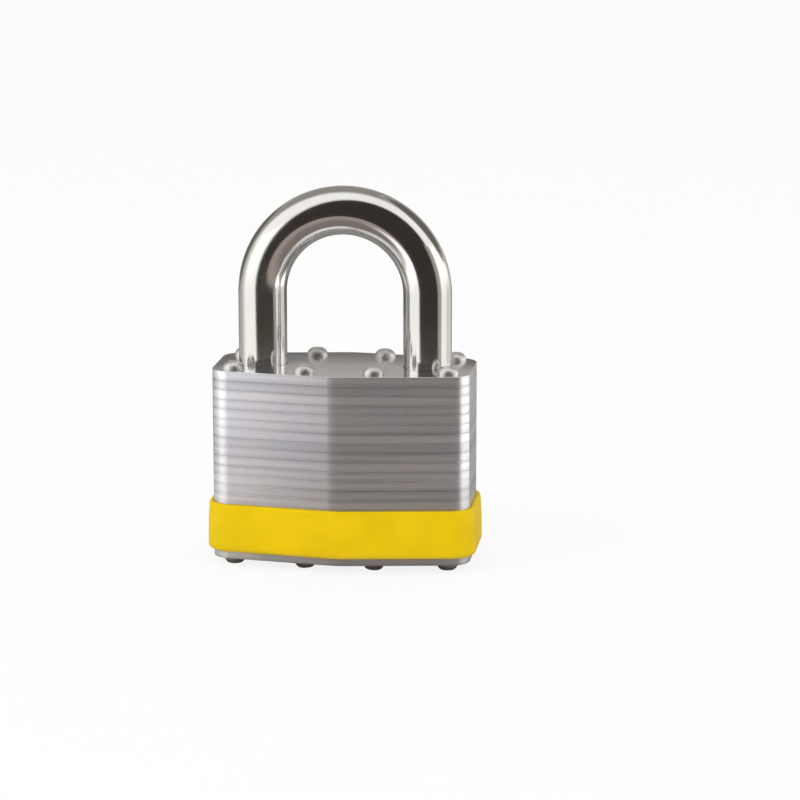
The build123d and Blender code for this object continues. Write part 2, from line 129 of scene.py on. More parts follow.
class Wiring:
    """One node tree. Each method adds what it names and gives back the socket that carries the result."""

    # Inputs of a mixing node, for its share and for two numbers or two colours, and its outputs for them
    MIX_NUMBERS = (0, 2, 3)
    MIX_COLOURS = (0, 6, 7)
    MIXED_NUMBER = 0
    MIXED_COLOUR = 2
    # From how steeply a face's normal points up or down, whether the face counts as level
    LEVEL = Ramp(0.8, 0.97, 0.0, 1.0)

    def __init__(self, owner: bpy.types.Material | bpy.types.World) -> None:
        """Takes over the node tree of a material or world and empties it.

        Args:
            owner: The material or world.
        """
        owner.use_nodes = True
        self.tree = owner.node_tree
        self.tree.nodes.clear()

    def add(self, kind: str, inputs: Inputs | None = None, **settings: object) -> bpy.types.NodeOutputs:
        """Adds a node.

        Args:
            kind: The node's type, without its leading ShaderNode.
            inputs: The socket, number or colour that goes into each input, by its name or place.
            **settings: Values of the node's own properties.

        Returns:
            The node's outputs.
        """
        node = self.tree.nodes.new(f"ShaderNode{kind}")
        for name, value in settings.items():
            setattr(node, name, value)
        for key, source in (inputs or {}).items():
            if isinstance(source, Socket):
                self.tree.links.new(source, node.inputs[key])
            else:
                node.inputs[key].default_value = source
        return node.outputs

    def spot(self, repeats: Triple) -> Socket:
        """Gives the place on the piece in metres, multiplied along X, Y and Z."""
        place = self.add("TexCoord")["Object"]
        return self.add("VectorMath", {0: place, 1: repeats}, operation="MULTIPLY")["Vector"]

    def axes(self, quality: str = "Object") -> tuple[Socket, ...]:
        """Splits the place on the piece in metres, or its normal, into X, Y and Z."""
        return tuple(self.add("SeparateXYZ", {0: self.add("TexCoord")[quality]}))

    def sum(self, operation: str, first: object, second: object = 0.0) -> Socket:
        """Works out one step of arithmetic, such as ADD or FLOOR, on one or two sockets or numbers."""
        return self.add("Math", {0: first, 1: second}, operation=operation)[0]

    def noise(self, pattern: Pattern) -> Socket:
        """Adds soft noise over the piece.

        Args:
            pattern: The noise.

        Returns:
            A value about 0.5.
        """
        inputs = {
            "Vector": self.spot(pattern.repeats),
            "Scale": 1.0,
            "Detail": pattern.layers,
            "Roughness": pattern.strength,
        }
        return self.add("TexNoise", inputs)[0]

    def cells(self, repeats: Triple, feature: str = "F1") -> Socket:
        """Adds a pattern of cells, as one of the distances within a cell, which start at 0."""
        inputs = {"Vector": self.spot(repeats), "Scale": 1.0}
        return self.add("TexVoronoi", inputs, feature=feature)["Distance"]

    def dice(self, number: Socket) -> Socket:
        """Throws a die between 0 and 1, which always falls the same for the same number."""
        return self.add("TexWhiteNoise", {"W": number}, noise_dimensions="1D")["Value"]

    def ramp(self, value: Socket, step: Ramp, lift: float = 0.0) -> Socket:
        """Sends a value through a soft step, which holds its ends.

        Args:
            value: The value.
            step: The soft step.
            lift: What is added to both of the step's results.

        Returns:
            The result.
        """
        inputs = {
            "Value": value,
            "From Min": step.low,
            "From Max": step.high,
            "To Min": step.start + lift,
            "To Max": step.end + lift,
        }
        return self.add("MapRange", inputs, interpolation_type="SMOOTHSTEP")["Result"]

    def pick(self, share: Socket, first: object, second: object) -> Socket:
        """Goes from one socket or number to another, as its share goes from 0 to 1."""
        inputs = dict(zip(self.MIX_NUMBERS, (share, first, second)))
        return self.add("Mix", inputs, data_type="FLOAT")[self.MIXED_NUMBER]

    def tint(self, share: object, first: object, second: object, way: str = "MIX") -> Socket:
        """Mixes two colours.

        Args:
            share: How much of the second colour is used.
            first: The first colour, as a socket or three numbers.
            second: The second colour, as a socket or three numbers.
            way: How they are mixed.

        Returns:
            The mixed colour.
        """
        colours = ((*given, 1.0) if isinstance(given, tuple) else given for given in (first, second))
        inputs = dict(zip(self.MIX_COLOURS, (share, *colours)))
        return self.add("Mix", inputs, data_type="RGBA", blend_type=way)[self.MIXED_COLOUR]

    def shade(self, colour: Triple, level: Socket) -> Socket:
        """Makes a colour lighter or darker, by a level of about 1."""
        grey = self.add("CombineColor", {0: level, 1: level, 2: level})[0]
        return self.tint(1.0, colour, grey, "MULTIPLY")

    def relief(self, height: Socket, depth: float, strength: float = 1.0) -> Socket:
        """Raises and lowers the surface.

        Args:
            height: The height, from 0 to 1.
            depth: The height of 1, in metres.
            strength: How much of it is used.

        Returns:
            The bent normal.
        """
        inputs = {"Strength": strength, "Distance": depth, "Height": height}
        return self.add("Bump", inputs)["Normal"]

    def level_share(self) -> Socket:
        """Gives 1 on faces that lie level and 0 on upright ones."""
        return self.ramp(self.sum("ABSOLUTE", self.axes("Normal")[2]), self.LEVEL)

    def seen_rays(self) -> Socket:
        """Tells the rays that look at a surface from those that only carry its light to others.

        Returns:
            1 for rays that come straight from the camera, or by way of metal or glass, and 0 for the rest.
        """
        rays = self.add("LightPath")
        seen = self.sum("MAXIMUM", rays["Is Camera Ray"], rays["Is Glossy Ray"])
        return self.sum("MAXIMUM", seen, rays["Is Transmission Ray"])


@dataclass(frozen=True)
class Finish:
    """How one kind of surface looks. Its marks are laid out in the piece's own metres."""

    slot: Slot
    colour: Triple
    roughness: float

    def make(self) -> bpy.types.Material:
        """Builds the finish.

        Returns:
            The material.
        """
        material = bpy.data.materials.new(self.slot.value)
        wiring = Wiring(material)
        shader = wiring.add("BsdfPrincipled", self.look(wiring))
        wiring.add("OutputMaterial", {"Surface": shader["BSDF"]})
        return material

    def look(self, wiring: Wiring) -> Inputs:
        """Wires the finish's marks.

        Args:
            wiring: The material's node tree.

        Returns:
            What goes into the shader's inputs.
        """
        raise NotImplementedError


@dataclass(frozen=True)
class PlateSteel(Finish):
    """Plated stamped steel, rubbed level round the stack, each plate of a slightly different tone."""

    floor: float
    pitch: float
    brushing: float = 0.85
    brushing_turn: float = 0.25
    bareness: float = 0.9
    upright_rubs: Pattern = Pattern((28.0, 28.0, 2600.0), 5.0, 0.6)
    level_rubs: Pattern = Pattern((26.0, 1700.0, 26.0), 5.0, 0.6)
    streaks: Pattern = Pattern((11.0, 11.0, 460.0), 3.0, 0.55)
    handling: Pattern = Pattern(even(75.0))
    rub_tone: Ramp = Ramp(0.25, 0.75, 0.9, 1.1)
    streak_tone: Ramp = Ramp(0.3, 0.7, 0.9, 1.08)
    plate_tone: Ramp = Ramp(0.0, 1.0, 0.91, 1.08)
    # Painted shade that darkens each plate towards its seams, and a painted highlight right along each seam
    seam_shade_tone: Ramp = Ramp(0.05, 0.42, 0.92, 1.06)
    seam_highlight_tone: Ramp = Ramp(0.0, 0.09, 1.12, 1.0)
    handled_share: Ramp = Ramp(0.35, 0.65, 0.0, 1.0)
    handled_cast: Triple = (0.96, 0.99, 1.04)
    upright_sheen: Ramp = Ramp(0.2, 0.8, -0.07, 0.09)
    level_sheen: Ramp = Ramp(0.2, 0.8, 0.06, 0.11)
    rub_depth: float = 0.012 * MM

    def look(self, wiring: Wiring) -> Inputs:
        """Wires rubbing lines, plate tones, and painted shade and a painted highlight at the seams.

        Args:
            wiring: The material's node tree.

        Returns:
            What goes into the shader's inputs.
        """
        lying = wiring.level_share()
        lines = wiring.pick(lying, wiring.noise(self.upright_rubs), wiring.noise(self.level_rubs))
        height = wiring.sum("SUBTRACT", wiring.axes()[2], self.floor)
        layer = wiring.sum("DIVIDE", height, self.pitch)
        from_seam = wiring.sum("PINGPONG", layer, 0.5)
        # Painted light on upright faces: painted shade towards each seam between plates and a painted
        # highlight along it
        seam_shade, seam_highlight = (wiring.ramp(from_seam, tone) for tone in (self.seam_shade_tone, self.seam_highlight_tone))

        level = wiring.ramp(lines, self.rub_tone)
        for tone in (
            wiring.ramp(wiring.noise(self.streaks), self.streak_tone),
            wiring.ramp(wiring.dice(wiring.sum("FLOOR", layer)), self.plate_tone),
            wiring.pick(lying, wiring.sum("MULTIPLY", seam_shade, seam_highlight), 1.0),
        ):
            level = wiring.sum("MULTIPLY", level, tone)
        clean = wiring.shade(self.colour, level)
        handled = wiring.tint(1.0, clean, self.handled_cast, "MULTIPLY")
        handled_share = wiring.ramp(wiring.noise(self.handling), self.handled_share)
        upright_sheen = wiring.ramp(lines, self.upright_sheen, self.roughness)
        return {
            "Base Color": wiring.tint(handled_share, clean, handled),
            "Metallic": self.bareness,
            "Roughness": wiring.pick(lying, upright_sheen, wiring.ramp(lines, self.level_sheen)),
            "Anisotropic": self.brushing,
            "Anisotropic Rotation": self.brushing_turn,
            "Tangent": wiring.add("Tangent", direction_type="RADIAL", axis="Z")[0],
            "Normal": wiring.relief(lines, self.rub_depth),
        }


@dataclass(frozen=True)
class PolishedChrome(Finish):
    """Polished chrome plating with handling marks and hairlines."""

    smudges: Pattern = Pattern((95.0, 95.0, 60.0), 4.0, 0.6)
    smudge_tone: Ramp = Ramp(0.3, 0.7, 0.94, 1.03)
    smudge_sheen: Ramp = Ramp(0.35, 0.75, 0.0, 0.05)
    hairs: Triple = (520.0, 380.0, 45.0)
    hair_share: Ramp = Ramp(0.0, 0.018, 1.0, 0.0)
    hair_sheen: float = 0.05
    drawing: Pattern = Pattern((900.0, 900.0, 30.0))
    drawn_depth: float = 0.0016 * MM

    def look(self, wiring: Wiring) -> Inputs:
        """Wires smudges, hairlines and a faint waviness of the rod.

        Args:
            wiring: The material's node tree.

        Returns:
            What goes into the shader's inputs.
        """
        smudges = wiring.noise(self.smudges)
        scratch = wiring.ramp(wiring.cells(self.hairs, "DISTANCE_TO_EDGE"), self.hair_share)
        worn = wiring.ramp(smudges, self.smudge_sheen, self.roughness)
        return {
            "Base Color": wiring.shade(self.colour, wiring.ramp(smudges, self.smudge_tone)),
            "Metallic": 1.0,
            "Roughness": wiring.sum("ADD", worn, wiring.sum("MULTIPLY", scratch, self.hair_sheen)),
            "Normal": wiring.relief(wiring.noise(self.drawing), self.drawn_depth),
        }


@dataclass(frozen=True)
class RivetSteel(Finish):
    """Bright plated rivets with heads set by hammer blows."""

    blows: Triple = even(900.0)
    blow_depth: float = 0.05 * MM
    blow_strength: float = 0.5
    grain: Pattern = Pattern(even(1800.0), 4.0)
    grain_sheen: Ramp = Ramp(0.3, 0.7, -0.05, 0.08)
    grime: Pattern = Pattern(even(420.0))
    grime_tone: Ramp = Ramp(0.35, 0.7, 1.04, 0.84)

    def look(self, wiring: Wiring) -> Inputs:
        """Wires hammer facets and grime round them.

        Args:
            wiring: The material's node tree.

        Returns:
            What goes into the shader's inputs.
        """
        return {
            "Base Color": wiring.shade(self.colour, wiring.ramp(wiring.noise(self.grime), self.grime_tone)),
            "Metallic": 1.0,
            "Roughness": wiring.ramp(wiring.noise(self.grain), self.grain_sheen, self.roughness),
            "Normal": wiring.relief(wiring.cells(self.blows), self.blow_depth, self.blow_strength),
        }


@dataclass(frozen=True)
class BumperVinyl(Finish):
    """Moulded satin vinyl, a little mottled, with scuffs, and darker towards its foot."""

    foot: float
    mottle: Pattern = Pattern((130.0, 130.0, 160.0), 4.0, 0.55)
    mottle_tone: Ramp = Ramp(0.3, 0.7, 0.95, 1.04)
    rubs: Pattern = Pattern((60.0, 60.0, 900.0), 5.0, 0.65)
    rub_sheen: Ramp = Ramp(0.3, 0.75, 0.0, 0.14)
    scuff_share: Ramp = Ramp(0.62, 0.8, 0.0, 0.35)
    scuff_colour: Triple = (0.93, 0.74, 0.04)
    # The band turns darker towards the bottom, over this height above its foot
    foot_dark_height: float = 1.6 * MM
    foot_dark_share: float = 0.22
    foot_dark_colour: Triple = (0.42, 0.31, 0.06)
    gloss: float = 0.07
    grain: Pattern = Pattern(even(4200.0), 2.0)
    grain_depth: float = 0.008 * MM
    grain_strength: float = 0.6

    def look(self, wiring: Wiring) -> Inputs:
        """Wires mottling, scuffs, a darkening towards the foot and the mould's fine grain.

        Args:
            wiring: The material's node tree.

        Returns:
            What goes into the shader's inputs.
        """
        rubs = wiring.noise(self.rubs)
        body = wiring.shade(self.colour, wiring.ramp(wiring.noise(self.mottle), self.mottle_tone))
        scuffed = wiring.tint(wiring.ramp(rubs, self.scuff_share), body, self.scuff_colour)
        foot_darkening = Ramp(self.foot, self.foot + self.foot_dark_height, self.foot_dark_share, 0.0)
        return {
            "Base Color": wiring.tint(wiring.ramp(wiring.axes()[2], foot_darkening), scuffed, self.foot_dark_colour),
            "Roughness": wiring.ramp(rubs, self.rub_sheen, self.roughness),
            "Specular IOR Level": self.gloss,
            "Normal": wiring.relief(wiring.noise(self.grain), self.grain_depth, self.grain_strength),
        }


@dataclass(frozen=True)
class WorkedMetal(Finish):
    """A plain metal of the works inside, with the marks of how it was made."""

    grain: Grain
    tarnish: Triple
    rings_per_metre: float = 7000.0
    lines: Pattern = Pattern(even(2600.0), 4.0, 0.6)
    line_depth: float = 0.006 * MM
    dents: Triple = even(1300.0)
    dent_depth: float = 0.02 * MM
    mark_tone: Ramp = Ramp(0.0, 1.0, 0.93, 1.05)
    mark_strength: float = 0.7
    cloud: Pattern = Pattern(even(260.0), 4.0, 0.6)
    cloud_sheen: Ramp = Ramp(0.3, 0.75, 0.0, 0.16)
    tarnish_share: Ramp = Ramp(0.48, 0.78, 0.0, 0.6)

    def marks(self, wiring: Wiring) -> tuple[Socket, float]:
        """Gives the marks of the making.

        Args:
            wiring: The material's node tree.

        Returns:
            The marks' height from 0 to 1, and what a height of 1 is in metres.
        """
        if self.grain is Grain.TUMBLED:
            return wiring.cells(self.dents), self.dent_depth
        if self.grain is Grain.DRAWN:
            return wiring.noise(self.lines), self.line_depth
        squares = [wiring.sum("POWER", place, 2.0) for place in wiring.axes()[:2]]
        radius = wiring.sum("SQRT", wiring.sum("ADD", *squares))
        rings = wiring.sum("MULTIPLY", radius, self.rings_per_metre)
        return wiring.sum("PINGPONG", rings, 1.0), self.line_depth

    def look(self, wiring: Wiring) -> Inputs:
        """Wires the marks and the tarnish between them.

        Args:
            wiring: The material's node tree.

        Returns:
            What goes into the shader's inputs.
        """
        marks, depth = self.marks(wiring)
        cloud = wiring.noise(self.cloud)
        clean = wiring.shade(self.colour, wiring.ramp(marks, self.mark_tone))
        return {
            "Base Color": wiring.tint(wiring.ramp(cloud, self.tarnish_share), clean, self.tarnish),
            "Metallic": 1.0,
            "Roughness": wiring.ramp(cloud, self.cloud_sheen, self.roughness),
            "Normal": wiring.relief(marks, depth, self.mark_strength),
        }


HARDENED_STEEL = WorkedMetal(Slot.HARDENED, (0.42, 0.41, 0.4), 0.34, Grain.TUMBLED, (0.16, 0.14, 0.12))
SPRING_WIRE = WorkedMetal(Slot.WIRE, (0.46, 0.46, 0.47), 0.26, Grain.DRAWN, (0.2, 0.19, 0.18))
BRASS = WorkedMetal(Slot.BRASS, (0.72, 0.5, 0.19), 0.24, Grain.TURNED, (0.36, 0.22, 0.08))


def dress(names: list[str], material: bpy.types.Material) -> None:
    """Gives solids of the frame their finish.

    Args:
        names: The solids' names.
        material: The finish.
    """
    for name in names:
        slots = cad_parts[name].data.materials
        slots.clear()
        slots.append(material)
        log.info("%s: %s", name, material.name)


def named(word: str) -> list[str]:
    """Gives the names of the frame's solids that hold a word, in order."""
    return sorted(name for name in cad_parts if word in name)


def new_piece(name: str, mesh: bmesh.types.BMesh, material: bpy.types.Material) -> bpy.types.Object:
    """Turns a mesh under construction into an object of the scene.

    Args:
        name: The piece's name.
        mesh: The mesh, which is used up.
        material: The piece's finish.

    Returns:
        The new object.
    """
    bmesh.ops.recalc_face_normals(mesh, faces=mesh.faces)
    data = bpy.data.meshes.new(name)
    mesh.to_mesh(data)
    mesh.free()
    data.materials.append(material)
    piece = bpy.data.objects.new(name, data)
    bpy.context.scene.collection.objects.link(piece)
    log.info("%s: %d faces", name, len(data.polygons))
    return piece


def skin(mesh: bmesh.types.BMesh, rows: list[list[bmesh.types.BMVert]], closed: bool = True) -> None:
    """Joins rows of points with faces, each row to the next.

    Args:
        mesh: The mesh that the points belong to.
        rows: The rows, all of one length. Where the last is the first again, the skin meets itself.
        closed: Whether each row also runs from its last point to its first.
    """
    for row, following in zip(rows, rows[1:]):
        for index in range(0 if closed else 1, len(row)):
            mesh.faces.new((row[index - 1], row[index], following[index], following[index - 1]))


@dataclass(frozen=True)
class Arc:
    """A round stretch of an outline, about an upright axis."""

    centre: Vector
    radius: float
    first: float
    last: float

    def point(self, share: float, margin: float) -> Vector:
        """Gives a point part of the way along the arc, moved outwards by a margin."""
        angle = self.first + share * (self.last - self.first)
        return self.centre + (self.radius + margin) * Vector((math.cos(angle), math.sin(angle), 0.0))


@dataclass(frozen=True)
class CaseOutline:
    """The plates' outline: sloping facets that meet at soft ridges, with round corners."""

    half_width: float
    half_depth: float
    slope: float = math.radians(8.2)
    corner_radius: float = 4.0 * MM
    ridge_radius: float = 12.0 * MM
    arc_steps: int = 14
    run_steps: int = 10

    def arcs(self) -> list[Arc]:
        """Works out the ridges and corners.

        Returns:
            The arcs, counter-clockwise from the front ridge.
        """
        quarter = math.pi / 2
        ridge_y = self.half_depth - self.ridge_radius
        corner_x = self.half_width - self.corner_radius
        rise = math.sin(self.slope) * corner_x - (self.ridge_radius - self.corner_radius)
        corner_y = ridge_y - rise / math.cos(self.slope)
        arcs = []
        for turn, side in ((0.0, 1.0), (math.pi, -1.0)):
            front = Vector((0.0, -side * ridge_y, 0.0))
            near = Vector((side * corner_x, -side * corner_y, 0.0))
            far = Vector((side * corner_x, side * corner_y, 0.0))
            arcs += [
                Arc(front, self.ridge_radius, turn - quarter - self.slope, turn - quarter + self.slope),
                Arc(near, self.corner_radius, turn - quarter + self.slope, turn),
                Arc(far, self.corner_radius, turn, turn + quarter - self.slope),
            ]
        return arcs

    def loop(self, margin: float, tuck: float = 0.0) -> list[Vector]:
        """Gives the points of the outline, moved outwards.

        Args:
            margin: How far the outline is moved outwards.
            tuck: Share of the margin that is lost at the middle of a corner.

        Returns:
            The points, counter-clockwise.
        """
        arcs = self.arcs()
        points = []
        for arc, following in zip(arcs, arcs[1:] + arcs[:1]):
            is_corner = arc.radius == self.corner_radius
            for step in range(self.arc_steps + 1):
                share = step / self.arc_steps
                drawn = tuck * math.sin(math.pi * share) if is_corner else 0.0
                points.append(arc.point(share, margin * (1.0 - drawn)))
            start = points[-1]
            end = following.point(0.0, margin)
            points += [start.lerp(end, step / self.run_steps) for step in range(1, self.run_steps)]
        return points


@dataclass
class LaminatedCase:
    """The stack of stamped plates and its eight rivets."""

    plate_colour: Triple = (0.88, 0.86, 0.865)
    plate_roughness: float = 0.32
    rivet_colour: Triple = (0.95, 0.93, 0.91)
    rivet_roughness: float = 0.45

    def dress(self) -> None:
        """Gives the plates and the rivets their finishes."""
        low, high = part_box("bottom_plate")
        plates = PlateSteel(Slot.PLATES, self.plate_colour, self.plate_roughness, low.z, high.z - low.z)
        dress(named("plate"), plates.make())
        dress(["case_rivets"], RivetSteel(Slot.RIVETS, self.rivet_colour, self.rivet_roughness).make())


@dataclass
class Bumper:
    """The vinyl band round the foot of the stack, as a soft moulded ring that fits it closely."""

    lip: float = 0.9 * MM
    fit: float = 0.03 * MM
    top_round: float = 0.45 * MM
    foot_round: float = 0.7 * MM
    inner_break: float = 0.12 * MM
    swell: float = 0.1 * MM
    corner_tuck: float = 0.08
    round_steps: int = 6
    side_steps: int = 10
    colour: Triple = (0.84, 0.575, 0.003)
    roughness: float = 0.4

    def section(self, flare: float, floor: float, top: float) -> list[Pair]:
        """Gives the band's closed section.

        Args:
            flare: How far the foot stands out from the plates.
            floor: Height of the foot.
            top: Height of the lip.

        Returns:
            Points as distance from the plates and height.
        """
        quarter = math.pi / 2
        points = [(self.fit, top - self.inner_break), (self.fit + self.inner_break, top)]
        for step in range(self.round_steps + 1):
            angle = quarter * (1.0 - step / self.round_steps)
            out = self.lip - self.top_round * (1.0 - math.cos(angle))
            points.append((out, top - self.top_round * (1.0 - math.sin(angle))))
        upper = top - self.top_round
        lower = floor + self.foot_round
        for step in range(1, self.side_steps):
            share = step / self.side_steps
            out = self.lip + share * (flare - self.lip) + self.swell * math.sin(math.pi * share)
            points.append((min(out, flare), upper + share * (lower - upper)))
        for step in range(self.round_steps + 1):
            angle = quarter * step / self.round_steps
            out = flare - self.foot_round * (1.0 - math.cos(angle))
            points.append((out, floor + self.foot_round * (1.0 - math.sin(angle))))
        points += [(self.fit + self.inner_break, floor), (self.fit, floor + self.inner_break)]
        return points

    def build(self) -> None:
        """Builds the band round the plates' outline and puts it in place of the plain solid."""
        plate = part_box("bottom_plate")[1]
        low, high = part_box("bumper")
        outline = CaseOutline(plate.x, plate.y)
        mesh = bmesh.new()
        rows = []
        for distance, height in self.section(high.x - plate.x, low.z, high.z):
            # The corners are tucked in on the outer wall only, because the inner one lies on the plates
            tuck = self.corner_tuck if distance > self.lip / 2 else 0.0
            loop = outline.loop(distance, tuck)
            rows.append([mesh.verts.new((point.x, point.y, height)) for point in loop])
        skin(mesh, rows + rows[:1])
        finish = BumperVinyl(Slot.BUMPER, self.colour, self.roughness, low.z)
        band = new_piece("bumper_band", mesh, finish.make())
        band.data.shade_smooth()
        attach(band, "case")
        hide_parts("bumper")


@dataclass(frozen=True)
class Coil:
    """A round wire wound about a straight line, with turns that lie close together at its seats."""

    name: str
    stands_for: str
    start: Vector
    end: Vector
    radius: float
    gauge: float
    turns: float = 5.0
    seat_turns: Pair = (0.9, 0.9)
    seat_pitch: float = 1.05
    steps: int = 28
    sides: int = 10

    def rise(self, turn: float) -> float:
        """Gives how far the wire's middle has climbed after some turns.

        Args:
            turn: The number of turns from the start.

        Returns:
            The distance along the line, which begins and ends half a wire inside a seat.
        """
        first, last = self.seat_turns
        low = self.gauge / 2 if first else 0.0
        high = (self.end - self.start).length - (self.gauge / 2 if last else 0.0)
        close = self.seat_pitch * self.gauge
        if turn <= first:
            return low + close * turn
        if turn >= self.turns - last:
            return high - close * (self.turns - turn)
        share = (turn - first) / (self.turns - first - last)
        return (1.0 - share) * (low + close * first) + share * (high - close * last)

    def build(self, material: bpy.types.Material) -> bpy.types.Object:
        """Winds the wire and puts it in place of the plain solid.

        Args:
            material: Finish of the wire.

        Returns:
            The spring.
        """
        along = (self.end - self.start).normalized()
        side = along.orthogonal().normalized()
        mesh = bmesh.new()
        rings = []
        for step in range(round(self.turns * self.steps) + 1):
            turn = step / self.steps
            outward = Quaternion(along, math.tau * turn) @ side
            middle = self.start + along * self.rise(turn) + outward * self.radius
            ring = []
            for corner in range(self.sides):
                angle = math.tau * corner / self.sides
                way = outward * math.cos(angle) + along * math.sin(angle)
                ring.append(mesh.verts.new(middle + way * (self.gauge / 2)))
            rings.append(ring)
        skin(mesh, rings)
        mesh.faces.new(rings[0])
        mesh.faces.new(rings[-1])
        spring = new_piece(self.name, mesh, material)
        spring.data.shade_smooth()
        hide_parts(self.stands_for)
        return spring


@dataclass
class Shackle:
    """The round bow, its stop ring and its spring."""

    colour: Triple = (0.86, 0.845, 0.815)
    roughness: float = 0.09
    gauge: float = 1.0 * MM

    def dress(self, hardened: bpy.types.Material) -> None:
        """Gives the bow its chrome and the ring the finish of hardened steel."""
        dress(["shackle"], PolishedChrome(Slot.SHACKLE, self.colour, self.roughness).make())
        dress(["shackle_stop_ring"], hardened)

    def build(self, wire: bpy.types.Material) -> None:
        """Winds the spring under the heel.

        Args:
            wire: Finish of the spring.
        """
        low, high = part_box("shackle_spring")
        middle = (low + high) / 2
        seat, heel = (Vector((middle.x, middle.y, height)) for height in (low.z, high.z))
        radius = (high.x - low.x - self.gauge) / 2
        spring = Coil("shackle_coil", "shackle_spring", seat, heel, radius, self.gauge).build(wire)
        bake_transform(spring)


@dataclass
class LeverWorks:
    """The two locking levers, their pins and the spring between them."""

    gauge: float = 0.45 * MM
    turns: float = 2.5
    seat_turns: Pair = (0.9, 0.0)

    def dress(self, hardened: bpy.types.Material) -> None:
        """Gives the levers and their pins the finish of hardened steel."""
        dress(named("heel_lever") + named("toe_lever"), hardened)

    def build(self, wire: bpy.types.Material) -> None:
        """Winds the spring in two halves, each from the lever that it pushes on to the middle.

        Args:
            wire: Finish of the spring.
        """
        low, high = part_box("lever_spring")
        middle = (low + high) / 2
        radius = (high.z - low.z - self.gauge) / 2
        winding = (radius, self.gauge, self.turns, self.seat_turns)
        for lever, reach in (("heel_lever", low.x), ("toe_lever", high.x)):
            seat = Vector((reach, middle.y, middle.z))
            half = Coil(f"{lever}_coil", "lever_spring", seat, middle, *winding).build(wire)
            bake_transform(half)


@dataclass
class PinCylinder:
    """The brass cylinder with its plug, cam, clip, pins and pin springs."""

    gauge: float = 0.35 * MM
    spare: float = 0.02 * MM

    def dress(self, hardened: bpy.types.Material) -> None:
        """Gives the brass pieces, the cam and the clip their finishes.

        Args:
            hardened: Finish of the cam and clip.
        """
        names = ["cylinder_shell", "pin_chamber_cover", "cylinder_plug"]
        dress(names + named("key_pin") + named("driver_pin"), BRASS.make())
        dress(["plug_cam", "plug_clip"], hardened)

    def build(self, wire: bpy.types.Material) -> None:
        """Winds the pin springs, each squeezed by its driver pin.

        Args:
            wire: Finish of the springs.
        """
        for row, node in enumerate(named("pin_spring"), start=1):
            low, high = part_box(node)
            middle = (low + high) / 2
            seat, pin = (Vector((reach, middle.y, middle.z)) for reach in (high.x, low.x))
            radius = (high.z - low.z - self.gauge) / 2
            spring = Coil(f"pin_coil_{row}", node, pin, seat, radius, self.gauge).build(wire)
            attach(spring, "case")
            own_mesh(spring)


def bearing(azimuth: float, elevation: float) -> Vector:
    """Gives the unit way from the lock towards a place round it.

    Args:
        azimuth: Degrees from the front towards the right.
        elevation: Degrees above the floor.

    Returns:
        The unit vector.
    """
    turn, lift = math.radians(azimuth), math.radians(elevation)
    return Vector((math.sin(turn) * math.cos(lift), -math.cos(turn) * math.cos(lift), math.sin(lift)))


def eased(value: float, low: float, high: float) -> float:
    """Gives 0 below a low value, 1 above a high one, and a soft step between them."""
    share = min(max((value - low) / (high - low), 0.0), 1.0)
    return share * share * (3.0 - 2.0 * share)


@dataclass(frozen=True)
class Softbox:
    """A square soft lamp that faces the middle of the lock."""

    name: str
    azimuth: float
    elevation: float
    distance: float
    side: float
    power: float

    def build(self, aim: Vector) -> None:
        """Hangs the lamp.

        Args:
            aim: The point that it faces.
        """
        lamp = bpy.data.lights.new(self.name, "AREA")
        lamp.shape = "SQUARE"
        lamp.size = self.side
        lamp.energy = self.power
        holder = bpy.data.objects.new(self.name, lamp)
        holder.visible_glossy = False
        away = bearing(self.azimuth, self.elevation)
        holder.location = aim + away * self.distance
        holder.rotation_mode = "QUATERNION"
        holder.rotation_quaternion = away.to_track_quat("Z", "Y")
        bpy.context.scene.collection.objects.link(holder)
        log.info("%s: %.2f W", self.name, self.power)


@dataclass(frozen=True)
class ReflectionCard:
    """A glowing card near the lock whose points each have a tone: a painted reflection, which only shows in
    metal.
    """

    name: str
    steps: int = 48
    rows: int = 16

    def point(self, across: float, up: float) -> tuple[Vector, Vector]:
        """Gives one of the card's points.

        Args:
            across: Share of the way round.
            up: Share of the way up, or of the way out from the middle.

        Returns:
            The point's place and its colour.
        """
        raise NotImplementedError

    def make_material(self) -> bpy.types.Material:
        """Builds the card's glow, which follows the tones that its points carry.

        Returns:
            The material.
        """
        material = bpy.data.materials.new(self.name)
        wiring = Wiring(material)
        tone = wiring.add("Attribute", attribute_name="tone")
        glow = wiring.add("Emission", {"Color": tone["Color"]})
        wiring.add("OutputMaterial", {"Surface": glow[0]})
        return material

    def build(self) -> None:
        """Sets the card up, unseen by the camera and by soft light."""
        mesh = bmesh.new()
        layer = mesh.verts.layers.float_color.new("tone")
        rows = []
        for row in range(self.rows + 1):
            verts = []
            for step in range(self.steps + 1):
                place, tone = self.point(step / self.steps, row / self.rows)
                vert = mesh.verts.new(place)
                vert[layer] = (*tone, 1.0)
                verts.append(vert)
            rows.append(verts)
        skin(mesh, rows, closed=False)
        card = new_piece(self.name, mesh, self.make_material())
        card.visible_camera = False
        card.visible_diffuse = False
        card.visible_shadow = False
        card.visible_transmission = False


@dataclass(frozen=True)
class Sector:
    """One stretch of a ring: where it starts, its two edges' colours, and where one becomes the other."""

    start: float
    lower: Triple
    upper: Triple
    turn: Pair = (0.3, 0.6)

    def colour(self, up: float) -> Vector:
        """Gives the colour at a share of the way from the lower edge to the upper."""
        return Vector(self.lower).lerp(Vector(self.upper), eased(up, *self.turn))


